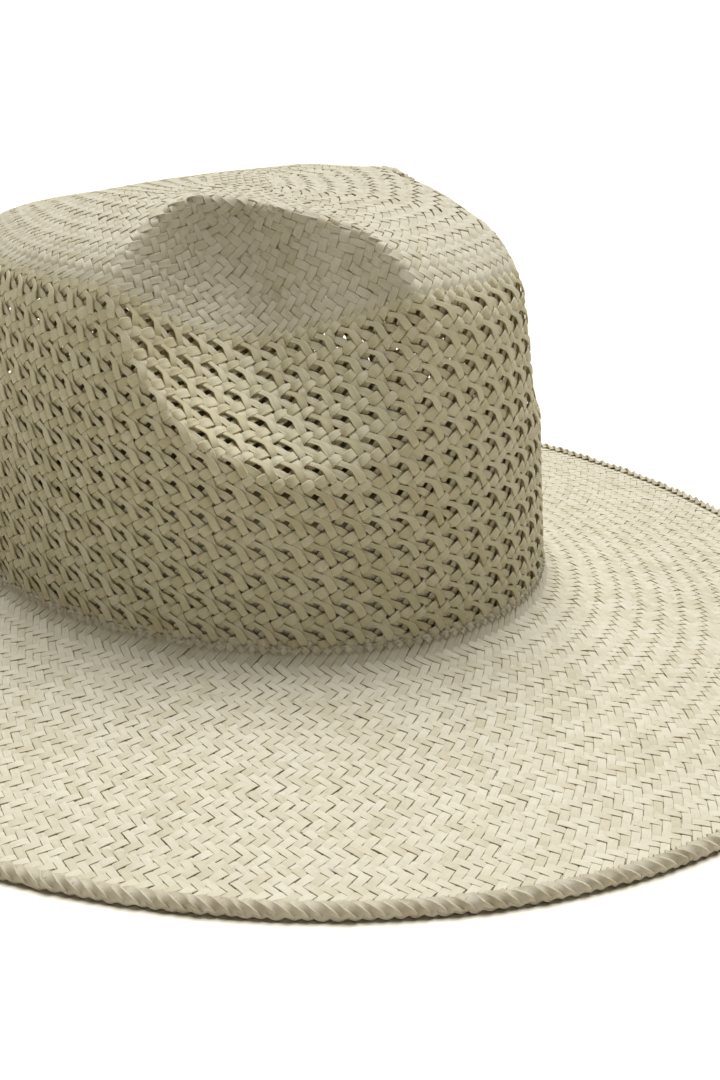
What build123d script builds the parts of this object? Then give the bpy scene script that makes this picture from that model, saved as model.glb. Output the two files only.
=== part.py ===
from build123d import *
from math import pi, sin, cos, atan2, hypot, sqrt, degrees
import os

# ---------------------------------------------------------------- dimensions
# mm.  +Z up, front of the hat -Y, wearer's right -X.  Z = 0 is the surface the brim rests on.
HEAD_A = 83.6            # outside half width of the crown at its foot
HEAD_B = 100.4           # outside half length of the crown at its foot
CROWN_FOOT_Z = 12.8      # height of the crown's foot, where the brim starts
STRAW_T = 1.6            # thickness of the woven straw
TIP_SPLIT_Z = 104.0      # above this the weave is closed, below it is vented
BRIM_W = 86.4            # brim width at the sides, crown foot to outer edge
CROWN_Y = 3.7            # the crown sits this far behind the middle of the brim, so the front brim is longer
BRIM_FLAT_W = 80.0       # from here outwards the brim lies flat in its folded edge
BRIM_T = 1.4
EDGE_H = 3.4             # folded edge, outside height
EDGE_LIP = 0.9           # thickness of each ply of the fold
EDGE_IN_W = 79.4         # inner end of the fold's underside ply
EDGE_TOP_W = 81.4        # inner end of the fold's top ply
BRIM_END_W = 82.4        # where the brim sheet stops inside the fold
WIRE_R = 0.5
WIRE_W = 84.1            # wire centre line, measured like the brim width
WIRE_Z = 1.7
FERRULE_R = 0.76
FERRULE_BORE = 0.54
FERRULE_HALF_ANGLE = 2.4
BAND_H = 32.0            # sweatband height
BAND_T = 0.9
BAND_GAP = 0.35          # sweatband to crown wall
BAND_Z0 = 13.2
SPLICE_W = 12.0
LABEL_W = 24.0
LABEL_H = 27.0
LABEL_T = 0.5
HEM_R = 0.95
HEM_BORE = 0.42
THREAD_R = 0.36
STITCHES = 72
SECTION_POINTS = 96


def table(xs, ys):
    """Monotone cubic through a table of values."""
    n = len(xs)
    h = [xs[i + 1] - xs[i] for i in range(n - 1)]
    s = [(ys[i + 1] - ys[i]) / h[i] for i in range(n - 1)]
    d = [0.0] * n
    for i in range(1, n - 1):
        if s[i - 1] * s[i] > 0:
            w1, w2 = 2 * h[i] + h[i - 1], h[i] + 2 * h[i - 1]
            d[i] = (w1 + w2) / (w1 / s[i - 1] + w2 / s[i])
    d[0], d[-1] = s[0], s[-1]

    def at(x):
        x = min(max(x, xs[0]), xs[-1])
        i = 0
        while i < n - 2 and x > xs[i + 1]:
            i += 1
        t = (x - xs[i]) / h[i]
        return ((2 * t ** 3 - 3 * t * t + 1) * ys[i] + (t ** 3 - 2 * t * t + t) * h[i] * d[i]
                + (3 * t * t - 2 * t ** 3) * ys[i + 1] + (t ** 3 - t * t) * h[i] * d[i + 1])
    return at


# crown wall: how much both half axes shrink with height above the foot
taper = table([-15, 0, 10, 20, 30, 40, 50, 60, 70, 80, 90, 100, 130],
              [-1.0, 0.1, 0.9, 1.9, 3.0, 4.0, 5.0, 6.1, 7.4, 9.0, 10.8, 12.8, 19.0])
# top of the crown: height along the centre line, and how dished it is across
top_line = table([-120, -95, -85, -70, -57, -43, -25, -8, 8, 20, 31, 42, 60, 80, 120],
                 [98, 106, 111, 117, 119.8, 121.3, 122, 123, 123.6, 122.5, 120.4, 117.9, 114.2, 110.5, 103])
top_dish = table([-120, -70, -57, -30, -8, 20, 60, 120],
                 [.002, .003, .0034, .0036, .0012, -.0006, -.0012, -.0012])
# side dents, against the angle from the front: radius of the crest, height of the lower lip
crest_r = table([0, 6, 10.9, 13.6, 20, 30, 37.5, 48, 60, 67, 78, 100],
                [99, 93, 84, 75, 61.5, 50, 43.5, 38.5, 37.5, 38, 42, 60])
lip_z = table([0, 10, 16, 27, 35, 43, 52, 61, 71, 80, 100],
              [90, 80, 74, 65.5, 63.5, 66, 72, 83, 96, 104, 115])
CREST_Z = 126.0
LEFT_DENT_IN = 7.0       # the dent on the wearer's left is this much shallower
dent_power = table([0, 12, 20, 30, 40, 60, 75, 100], [1.0, 1.05, 1.3, 2.0, 2.5, 2.5, 1.7, 1.4])


def smooth(t, a, b):
    t = min(max((t - a) / (b - a), 0.0), 1.0)
    return t * t * (3 - 2 * t)


def smooth_max(a, b, k):
    h = min(max(0.5 + 0.5 * (a - b) / k, 0.0), 1.0)
    return b * (1 - h) + a * h + k * h * (1 - h)


def wall_r(phi, z):
    s = taper(z - CROWN_FOOT_Z)
    return 1 / sqrt((sin(phi) / (HEAD_A - s)) ** 2 + (cos(phi) / (HEAD_B - s)) ** 2)


def dent_r(phi, z):
    p = abs(degrees(phi))
    rc, zl = crest_r(min(p, 100)), lip_z(min(p, 100))
    if phi < 0:
        rc += LEFT_DENT_IN * smooth(p, 8, 24) * (1 - smooth(p, 50, 80))
    u = min(max((CREST_Z - z) / (CREST_Z - zl), 0.0), 1.6)
    rw = wall_r(phi, min(z, CREST_Z))
    n = dent_power(min(p, 100))
    g = u ** n if u < 1 else 1 + n * (u - 1)
    r = rc + (wall_r(phi, zl) - rc) * g
    w = smooth(p, 4, 20) * (1 - smooth(p, 56, 86)) if p < 95 else 0.0
    return rw + 25 + (r - rw - 25) * w


def crown_field(x, y, z):
    """Negative inside the crown block, positive outside."""
    phi, r, ax = atan2(-x, -y), hypot(x, y), abs(x)
    top = top_line(y) + top_dish(y) * min(ax, 34.0) ** 2 - 0.30 * max(ax - 34, 0) * smooth(ax, 34, 60)
    f = smooth_max(r - wall_r(phi, z), z - top, 14.0)
    return smooth_max(f, r - dent_r(phi, z), 5.0)


def reach(q, d, inset):
    """Distance from q along d to the crown's skin, or to the surface that lies inset below it."""
    a, b, t = 0.0, 150.0, 0.0
    while t < 150:
        t += 3.0
        if crown_field(q[0] + d[0] * t, q[1] + d[1] * t, q[2] + d[2] * t) > -inset:
            a, b = t - 3.0, t
            break
    for _ in range(16):
        m = (a + b) / 2
        if crown_field(q[0] + d[0] * m, q[1] + d[1] * m, q[2] + d[2] * m) > -inset:
            b = m
        else:
            a = m
    return (a + b) / 2


def ring(z0, rise, inset):
    """Closed row of points on the skin, seen from (0, 0, z0) at the elevation rise, in radians."""
    pts = []
    half = SECTION_POINTS // 2
    for i in range(SECTION_POINTS):
        t = pi * i / half
        d = (-sin(t) * HEAD_A / 92 * cos(rise), -cos(t) * HEAD_B / 92 * cos(rise), sin(rise))
        m = sqrt(d[0] ** 2 + d[1] ** 2 + d[2] ** 2)
        d = (d[0] / m, d[1] / m, d[2] / m)
        s = reach((0, 0, z0), d, inset)
        pts.append((d[0] * s, d[1] * s + CROWN_Y, z0 + d[2] * s))
    pts[0] = (0.0, pts[0][1], pts[0][2])
    pts[half] = (0.0, pts[half][1], pts[half][2])
    return pts


os.makedirs("parts", exist_ok=True)
made = []


def save(bp, name):
    bp.part.label = name
    export_step(bp.part, f"parts/{name}.step")
    made.append((name, bp.part.volume))


# ---------------------------------------------------------------- crown: one skin, parted where the weave changes
levels = [CROWN_FOOT_Z, 17, 23, 31, 40, 50]
AIM_Z = 60.0
rises = [0, 5, 10, 15, 20, 24, 28, 32, 36, 40, 44, 48, 53, 59, 66, 74, 82]


def crown_block(inset):
    wires = []
    for z, a in [(z, 0) for z in levels] + [(AIM_Z, a) for a in rises]:
        pts = ring(z, a * pi / 180, inset)
        wires.append(Wire([Edge.make_spline([Vector(*p) for p in pts], periodic=True)]))
    return Solid.make_loft(wires + [Vertex(0, CROWN_Y, AIM_Z + reach((0, 0, AIM_Z), (0, 0, 1), inset))])


crown_faces, crown_rims = [], []
for inset in (0, STRAW_T):
    skin = crown_block(inset).faces().sort_by(Axis.Z)
    crown_rims.append(skin[0].outer_wire())
    crown_faces += skin[1:]
crown_faces.append(Face(crown_rims[0], [crown_rims[1]]))
crown_skin = Solid(Shell(crown_faces))

with BuildPart() as crown_wall:
    add(crown_skin)
    split(bisect_by=Plane.XY.offset(TIP_SPLIT_Z), keep=Keep.BOTTOM)
save(crown_wall, "crown_wall")

with BuildPart() as crown_tip:
    add(crown_skin)
    split(bisect_by=Plane.XY.offset(TIP_SPLIT_Z), keep=Keep.TOP)
save(crown_tip, "crown_tip")


def oval(w):
    return HEAD_A + w, HEAD_B + w


def oval_spot(w):
    """Middle of the oval at brim width w: the crown's at the foot, the brim's from the flat rim on."""
    return 0, CROWN_Y * (1 - min(max(w / 76.0, 0), 1))


# ---------------------------------------------------------------- brim, closed weave
brim_top = [(-8, CROWN_FOOT_Z), (1.0, CROWN_FOOT_Z), (4.0, 12.2), (12, 10.9), (24, 9.2), (38, 7.3), (52, 5.5),
            (66, 3.9), (76, 2.85), (BRIM_FLAT_W, 2.4)]
with BuildPart() as brim:
    for w, z in reversed(brim_top[1:]):
        with BuildSketch(Plane.XY.offset(z)):
            with Locations(oval_spot(w)):
                Ellipse(*oval(w))
    loft()
    with BuildSketch(Plane.XY.offset(2.4)):
        Ellipse(*oval(BRIM_END_W))
    extrude(amount=-BRIM_T)
    for w, z in reversed(brim_top[1:]):
        with BuildSketch(Plane.XY.offset(z - BRIM_T)):
            with Locations(oval_spot(w)):
                Ellipse(*oval(w))
    loft(mode=Mode.SUBTRACT)
    with BuildSketch(Plane.XY.offset(0)):
        with Locations(oval_spot(0)):
            Ellipse(*oval(-STRAW_T - taper(0)))
    extrude(amount=20, mode=Mode.SUBTRACT)
save(brim, "brim")

# ---------------------------------------------------------------- folded edge of the brim
with BuildPart() as brim_edge:
    with BuildSketch():
        Ellipse(*oval(BRIM_W))
        Ellipse(*oval(EDGE_IN_W), mode=Mode.SUBTRACT)
    extrude(amount=EDGE_LIP)
    with BuildSketch(Plane.XY.offset(EDGE_LIP)):
        Ellipse(*oval(BRIM_W))
        Ellipse(*oval(BRIM_W - EDGE_LIP), mode=Mode.SUBTRACT)
    extrude(amount=EDGE_H - 2 * EDGE_LIP)
    with BuildSketch(Plane.XY.offset(EDGE_H - EDGE_LIP)):
        Ellipse(*oval(BRIM_W))
        Ellipse(*oval(EDGE_TOP_W), mode=Mode.SUBTRACT)
    extrude(amount=EDGE_LIP)
    rims = [e for e in brim_edge.edges() if abs(e.bounding_box().max.X - HEAD_A - BRIM_W) < 0.01
            and (e.bounding_box().max.Z < 0.01 or e.bounding_box().min.Z > EDGE_H - 0.01)]
    fillet(rims, radius=0.8)
save(brim_edge, "brim_edge")


def edge_arc(deg0, deg1):
    a, b = oval(WIRE_W)
    return Edge.make_ellipse(a, b, plane=Plane((0, 0, WIRE_Z)), start_angle=deg0, end_angle=deg1)


# ---------------------------------------------------------------- wire in the folded edge, ends meet at the back
with BuildPart() as brim_wire:
    with BuildLine() as run:
        add(edge_arc(90.15, 449.85))
    with BuildSketch(Plane(run.line @ 0, z_dir=run.line % 0)):
        Circle(WIRE_R)
    sweep()
save(brim_wire, "brim_wire")

# ---------------------------------------------------------------- ferrule over the wire's ends
with BuildPart() as wire_ferrule:
    with BuildLine() as run2:
        add(edge_arc(90 - FERRULE_HALF_ANGLE, 90 + FERRULE_HALF_ANGLE))
    with BuildSketch(Plane(run2.line @ 0, z_dir=run2.line % 0)):
        Circle(FERRULE_R)
        Circle(FERRULE_BORE, mode=Mode.SUBTRACT)
    sweep()
save(wire_ferrule, "wire_ferrule")


# ---------------------------------------------------------------- sweatband
def band_axes(z, depth):
    s = taper(z - CROWN_FOOT_Z) + STRAW_T + BAND_GAP + depth
    return HEAD_A - s, HEAD_B - s


band_z = [BAND_Z0, BAND_Z0 + BAND_H / 2, BAND_Z0 + BAND_H]
with BuildPart() as sweatband:
    for z in band_z:
        with BuildSketch(Plane.XY.offset(z)):
            with Locations((0, CROWN_Y)):
                Ellipse(*band_axes(z, 0))
    loft()
    for z in band_z:
        with BuildSketch(Plane.XY.offset(z)):
            with Locations((0, CROWN_Y)):
                Ellipse(*band_axes(z, BAND_T))
    loft(mode=Mode.SUBTRACT)
save(sweatband, "sweatband")

# ---------------------------------------------------------------- tape over the sweatband's butt joint, at the left
with BuildPart() as sweatband_splice:
    for z in band_z:
        with BuildSketch(Plane.XY.offset(z)):
            with Locations((0, CROWN_Y)):
                Ellipse(*band_axes(z, BAND_T + 0.02))
    loft()
    for z in band_z:
        with BuildSketch(Plane.XY.offset(z)):
            with Locations((0, CROWN_Y)):
                Ellipse(*band_axes(z, BAND_T + 0.5))
    loft(mode=Mode.SUBTRACT)
    with BuildSketch(Plane.XY.offset(BAND_Z0)):
        with Locations((HEAD_A, CROWN_Y)):
            Rectangle(60, SPLICE_W)
    extrude(amount=BAND_H, mode=Mode.INTERSECT)
save(sweatband_splice, "sweatband_splice")

# ---------------------------------------------------------------- running stitches near the sweatband's foot
stitch_z = BAND_Z0 + 3.0
sa, sb = band_axes(stitch_z, BAND_T + 0.24)
spots = []
for i in range(STITCHES):
    t = 2 * pi * (i + 0.5) / STITCHES
    x, y = sa * cos(t), sb * sin(t)
    if abs(y) > SPLICE_W / 2 + 2.5 or x < 0:
        spots.append((x, y + CROWN_Y, degrees(atan2(sb * cos(t), -sa * sin(t)))))
with BuildPart() as sweatband_stitching:
    for x, y, turn in spots:
        with Locations(Location((x, y, stitch_z), (0, 0, turn))):
            Box(3.4, 0.36, 0.5)
save(sweatband_stitching, "sweatband_stitching")

# ---------------------------------------------------------------- size label, hung on a thread at the back
hinge_z = BAND_Z0 + BAND_H - 4.0
back_face = band_axes(hinge_z, BAND_T)[1]
sag = back_face - back_face * sqrt(1 - ((LABEL_W / 2 + 2) / band_axes(hinge_z, BAND_T)[0]) ** 2)
hinge_y = CROWN_Y + back_face - sag - HEM_R - 0.35
with BuildPart() as size_label:
    with BuildSketch(Plane.YZ.offset(-LABEL_W / 2)):
        with Locations((hinge_y, hinge_z)):
            Circle(HEM_R)
        with Locations((hinge_y, hinge_z - LABEL_H / 2)):
            Rectangle(LABEL_T, LABEL_H)
        with Locations((hinge_y, hinge_z)):
            Circle(HEM_BORE, mode=Mode.SUBTRACT)
    extrude(amount=LABEL_W)
save(size_label, "size_label")

# thread through the label's hem, its ends turned back into the sweatband
reach_y = CROWN_Y + band_axes(hinge_z, BAND_T)[1] * sqrt(1 - ((LABEL_W / 2 + 1.4) / band_axes(hinge_z, BAND_T)[0]) ** 2) - 0.05
with BuildPart() as label_thread:
    with BuildLine() as turn_line:
        Polyline((-LABEL_W / 2 - 1.4, reach_y, hinge_z), (-LABEL_W / 2 - 1.4, hinge_y, hinge_z),
                 (LABEL_W / 2 + 1.4, hinge_y, hinge_z), (LABEL_W / 2 + 1.4, reach_y, hinge_z))
    with BuildSketch(Plane(turn_line.line @ 0, z_dir=turn_line.line % 0)):
        Circle(THREAD_R)
    sweep(transition=Transition.RIGHT)
save(label_thread, "label_thread")

for name, vol in made:
    print(f"{name:22s} {vol:12.1f} mm3")
print("hinge", round(hinge_y, 3), round(hinge_z, 3))
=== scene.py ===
import bpy, math
import numpy as np
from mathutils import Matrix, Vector


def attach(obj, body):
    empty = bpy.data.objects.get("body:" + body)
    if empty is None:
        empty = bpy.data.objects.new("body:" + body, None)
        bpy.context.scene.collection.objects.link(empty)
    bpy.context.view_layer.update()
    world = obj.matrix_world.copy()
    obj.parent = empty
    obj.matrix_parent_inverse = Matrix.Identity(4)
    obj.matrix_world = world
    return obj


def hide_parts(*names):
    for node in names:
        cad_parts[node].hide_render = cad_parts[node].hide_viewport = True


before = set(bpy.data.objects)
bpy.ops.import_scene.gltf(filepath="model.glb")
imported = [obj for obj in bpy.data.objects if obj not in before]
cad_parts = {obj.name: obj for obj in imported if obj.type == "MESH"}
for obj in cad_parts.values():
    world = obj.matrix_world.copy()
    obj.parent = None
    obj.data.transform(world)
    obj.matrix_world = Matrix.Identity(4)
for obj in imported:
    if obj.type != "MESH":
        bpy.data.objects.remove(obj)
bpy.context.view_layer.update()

rng = np.random.default_rng(7)
MM = 0.001

# ------------------------------------------------------------------ the hat's skin, in mm, as in the CAD
HEAD_A, HEAD_B, FOOT_Z, CROWN_Y, BRIM_W = 83.6, 100.4, 12.8, 3.7, 86.4
SPLIT_Z, AIM_Z, CREST_Z, LEFT_DENT_IN = 106.0, 60.0, 126.0, 7.0


def table(xs, ys):
    """Monotone cubic through a table of values."""
    xs, ys = np.array(xs, float), np.array(ys, float)
    h, s = np.diff(xs), np.diff(ys) / np.diff(xs)
    d = np.zeros(len(xs))
    for i in range(1, len(xs) - 1):
        if s[i - 1] * s[i] > 0:
            w1, w2 = 2 * h[i] + h[i - 1], h[i] + 2 * h[i - 1]
            d[i] = (w1 + w2) / (w1 / s[i - 1] + w2 / s[i])
    d[0], d[-1] = s[0], s[-1]

    def at(x):
        x = np.clip(x, xs[0], xs[-1])
        i = np.clip(np.searchsorted(xs, x, side="right") - 1, 0, len(xs) - 2)
        t = (x - xs[i]) / h[i]
        return ((2 * t ** 3 - 3 * t * t + 1) * ys[i] + (t ** 3 - 2 * t * t + t) * h[i] * d[i]
                + (3 * t * t - 2 * t ** 3) * ys[i + 1] + (t ** 3 - t * t) * h[i] * d[i + 1])
    return at


taper = table([-15, 0, 10, 20, 30, 40, 50, 60, 70, 80, 90, 100, 130],
              [-1.0, 0.1, 0.9, 1.9, 3.0, 4.0, 5.0, 6.1, 7.4, 9.0, 10.8, 12.8, 19.0])
top_line = table([-120, -95, -85, -70, -57, -43, -25, -8, 8, 20, 31, 42, 60, 80, 120],
                 [98, 106, 111, 117, 119.8, 121.3, 122, 123, 123.6, 122.5, 120.4, 117.9, 114.2, 110.5, 103])
top_dish = table([-120, -70, -57, -30, -8, 20, 60, 120],
                 [.002, .003, .0034, .0036, .0012, -.0006, -.0012, -.0012])
crest_r = table([0, 6, 10.9, 13.6, 20, 30, 37.5, 48, 60, 67, 78, 100],
                [99, 93, 84, 75, 61.5, 50, 43.5, 38.5, 37.5, 38, 42, 60])
lip_z = table([0, 10, 16, 27, 35, 43, 52, 61, 71, 80, 100],
              [90, 80, 74, 65.5, 63.5, 66, 72, 83, 96, 104, 115])
dent_power = table([0, 12, 20, 30, 40, 60, 75, 100], [1.0, 1.05, 1.3, 2.0, 2.5, 2.5, 1.7, 1.4])


def smooth(t, a, b):
    t = np.clip((t - a) / (b - a), 0, 1)
    return t * t * (3 - 2 * t)


def smooth_max(a, b, k):
    h = np.clip(0.5 + 0.5 * (a - b) / k, 0, 1)
    return b * (1 - h) + a * h + k * h * (1 - h)


def wall_r(phi, z):
    s = taper(z - FOOT_Z)
    return 1 / np.sqrt((np.sin(phi) / (HEAD_A - s)) ** 2 + (np.cos(phi) / (HEAD_B - s)) ** 2)


def dent_r(phi, z):
    p = np.clip(np.abs(np.degrees(phi)), 0, 100)
    rc, zl = crest_r(p), lip_z(p)
    rc = rc + LEFT_DENT_IN * (phi < 0) * smooth(p, 8, 24) * (1 - smooth(p, 50, 80))
    u = np.clip((CREST_Z - z) / (CREST_Z - zl), 0, 1.6)
    rw = wall_r(phi, np.minimum(z, CREST_Z))
    n = dent_power(p)
    g = np.where(u < 1, u ** n, 1 + n * (u - 1))
    r = rc + (wall_r(phi, zl) - rc) * g
    w = smooth(p, 4, 20) * (1 - smooth(p, 56, 86)) * (np.abs(np.degrees(phi)) < 95)
    return rw + 25 + (r - rw - 25) * w


def crown_field(p, dented=True):
    x, y, z = p[..., 0], p[..., 1], p[..., 2]
    phi, r, ax = np.arctan2(-x, -y), np.hypot(x, y), np.abs(x)
    top = top_line(y) + top_dish(y) * np.minimum(ax, 34.0) ** 2 - 0.30 * np.maximum(ax - 34, 0) * smooth(ax, 34, 60)
    f = smooth_max(r - wall_r(phi, z), z - top, 14.0)
    if dented:
        f = smooth_max(f, r - dent_r(phi, z), 4.2 - 1.0 * smooth(z, 80, 112))
    return f


def reach(q, d, dented=True):
    """Distance from q along d to the first crossing of the skin."""
    a, b = np.zeros(d.shape[:-1]), np.full(d.shape[:-1], 150.0)
    found = np.zeros(d.shape[:-1], bool)
    for t in np.arange(4.0, 152.0, 4.0):
        hit = ~found & (crown_field(q + d * t, dented) > 0)
        a, b, found = np.where(hit, t - 4.0, a), np.where(hit, t, b), found | hit
    for _ in range(11):
        m = (a + b) / 2
        out = crown_field(q + d * m[..., None], dented) > 0
        a, b = np.where(out, a, m), np.where(out, m, b)
    return (a + b) / 2


HALF = 240


def resample(path, n, axis_len=None):
    """n points evenly spaced along each polyline path[i]."""
    seg = np.linalg.norm(np.diff(path, axis=1), axis=-1)
    cum = np.concatenate([np.zeros((len(path), 1)), np.cumsum(seg, 1)], 1)
    out = np.empty((len(path), n, 3))
    for i in range(len(path)):
        t = np.linspace(0, cum[i, -1], n)
        for k in range(3):
            out[i, :, k] = np.interp(t, cum[i], path[i, :, k])
    return out


def close_rows(rows):
    """Half rows, front to back on the +X side, to full rings evenly spaced along each row."""
    rows = resample(rows, HALF + 1)
    rows[:, 0, 0] = rows[:, -1, 0] = 0
    return np.concatenate([rows, rows[:, -2:0:-1] * np.array([-1, 1, 1])], 1)


def even_rows(rows):
    """Full loops, front to front, with each half evenly spaced along its row."""
    a, b = resample(rows[:, :HALF + 1], HALF + 1), resample(rows[:, HALF:], HALF + 1)
    return np.concatenate([a[:, :-1], b[:, :-1]], 1)


def crown_rows(n_tip, n_wall):
    t = np.linspace(0, 2 * np.pi, 2 * HALF + 1)
    e = np.stack([np.sin(t) * HEAD_A / 92, -np.cos(t) * HEAD_B / 92, 0 * t], -1)
    e[0, 0] = e[HALF, 0] = e[-1, 0] = 0
    zs = np.linspace(14.0, AIM_Z, 26)[:-1]
    ps = np.radians(np.linspace(0, 90, 150))
    q = np.concatenate([np.stack([0 * zs, 0 * zs, zs], -1), np.tile([0, 0, AIM_Z], (len(ps), 1))])[:, None, :]
    d = np.concatenate([np.repeat(e[None], len(zs), 0),
                        e[None] * np.cos(ps)[:, None, None] + np.array([0, 0, 1.0]) * np.sin(ps)[:, None, None]])
    d = d / np.linalg.norm(d, axis=-1, keepdims=True)
    q = np.broadcast_to(q, d.shape)
    skin = q + d * reach(q, d)[..., None]
    plain_z = (q + d * reach(q, d, False)[..., None])[..., 2]
    tip, wall = np.empty((2 * HALF + 1, n_tip, 3)), np.empty((2 * HALF + 1, n_wall, 3))
    for i in range(2 * HALF + 1):
        col, z = skin[:, i], plain_z[:, i]
        k = np.argmax(z > SPLIT_Z)
        f = (SPLIT_Z - z[k - 1]) / (z[k] - z[k - 1])
        edge = col[k - 1] * (1 - f) + col[k] * f
        tip[i] = resample(np.concatenate([edge[None], col[k:]])[None, ::-1], n_tip)[0]
        # the vented part ends where the closed foot rows start
        foot = np.array([np.interp(18.6, col[:30, 2], col[:30, j]) for j in range(3)])
        low = np.concatenate([foot[None], col[:k][col[:k, 2] > 18.7], edge[None]])
        wall[i] = resample(low[None, ::-1], n_wall)[0]
    rows = np.concatenate([tip, wall[:, 1:]], 1).transpose(1, 0, 2)
    # ease the rows a little, so that none bends sharply where the skin folds
    for _ in range(3):
        mid = rows.copy()
        mid[:, 1:-1] = (rows[:, :-2] + 2 * rows[:, 1:-1] + rows[:, 2:]) / 4
        rows = mid
    rows = even_rows(rows)
    rows[..., 1] += CROWN_Y
    return rows


def brim_centre(w):
    return CROWN_Y * (1 - np.clip(w / 76.0, 0, 1))


foot_line = [(-0.55, 18.6), (-0.42, 17.4), (-0.15, 16.1), (0.35, 14.9), (1.15, 13.85), (2.3, 13.1), (3.8, 12.55), (6, 12.0),
             (12, 10.95), (24, 9.2), (38, 7.3), (52, 5.5), (66, 3.95), (74, 3.2), (79, 2.85), (83.9, 2.7)]


def brim_rows(n):
    wz = np.array(foot_line)
    cum = np.concatenate([[0], np.cumsum(np.hypot(*np.diff(wz, axis=0).T))])
    fw, fz = table(cum, wz[:, 0]), table(cum, wz[:, 1])
    s = np.linspace(0, cum[-1], n)
    w, z = fw(s), fz(s)
    t = np.linspace(0, np.pi, 4 * HALF + 1)
    rows = np.stack([np.sin(t)[None] * (HEAD_A + w)[:, None],
                     -np.cos(t)[None] * (HEAD_B + w)[:, None] + brim_centre(w)[:, None],
                     np.repeat(z[:, None], len(t), 1)], -1)
    return close_rows(rows), cum[-1]


class Skin:
    """A grid of rows (outwards) and columns (round), read at any row and column."""

    def __init__(self, rows):
        self.p = rows
        dc = np.roll(rows, -1, 1) - np.roll(rows, 1, 1)
        dr = np.gradient(rows, axis=0)
        n = np.cross(dr, dc)
        n /= np.linalg.norm(n, axis=-1, keepdims=True) + 1e-9
        if n[len(n) // 2, 0] @ (rows[len(n) // 2, 0] - np.array([0, 0, 0.0])) < 0:
            n = -n
        n[0] = n[1].mean(0)
        for _ in range(2):
            n[1:-1] = (n[:-2] + 2 * n[1:-1] + n[2:]) / 4
        self.n = n / (np.linalg.norm(n, axis=-1, keepdims=True) + 1e-9)

    def at(self, c, r, what="p"):
        g = getattr(self, what)
        nr, nc = g.shape[:2]
        c = np.mod(c, 1.0) * nc
        r = np.clip(r, 0, 1) * (nr - 1)
        r0 = np.minimum(r.astype(int), nr - 2)
        c0 = c.astype(int) % nc
        fr, fc = (r - r0)[..., None], (c - np.floor(c))[..., None]
        c1 = (c0 + 1) % nc
        return ((g[r0, c0] * (1 - fc) + g[r0, c1] * fc) * (1 - fr)
                + (g[r0 + 1, c0] * (1 - fc) + g[r0 + 1, c1] * fc) * fr)


N_TIP, N_WALL = 150, 130
crown = Skin(crown_rows(N_TIP, N_WALL))
TIP_END = (N_TIP - 1) / (N_TIP + N_WALL - 2)
brim_grid, brim_len = brim_rows(260)
brim = Skin(brim_grid)

# ------------------------------------------------------------------ strips of straw
FLAT = np.array([(-1, 0.05), (-0.85, 0.86), (-0.3, 1.0), (0.3, 0.93), (0.85, 0.9), (1, 0.0), (0.72, -0.9), (-0.72, -0.9)])
ROUND = np.array([(math.cos(a), math.sin(a)) for a in np.linspace(math.pi, -0.75 * math.pi, 8)])


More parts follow.
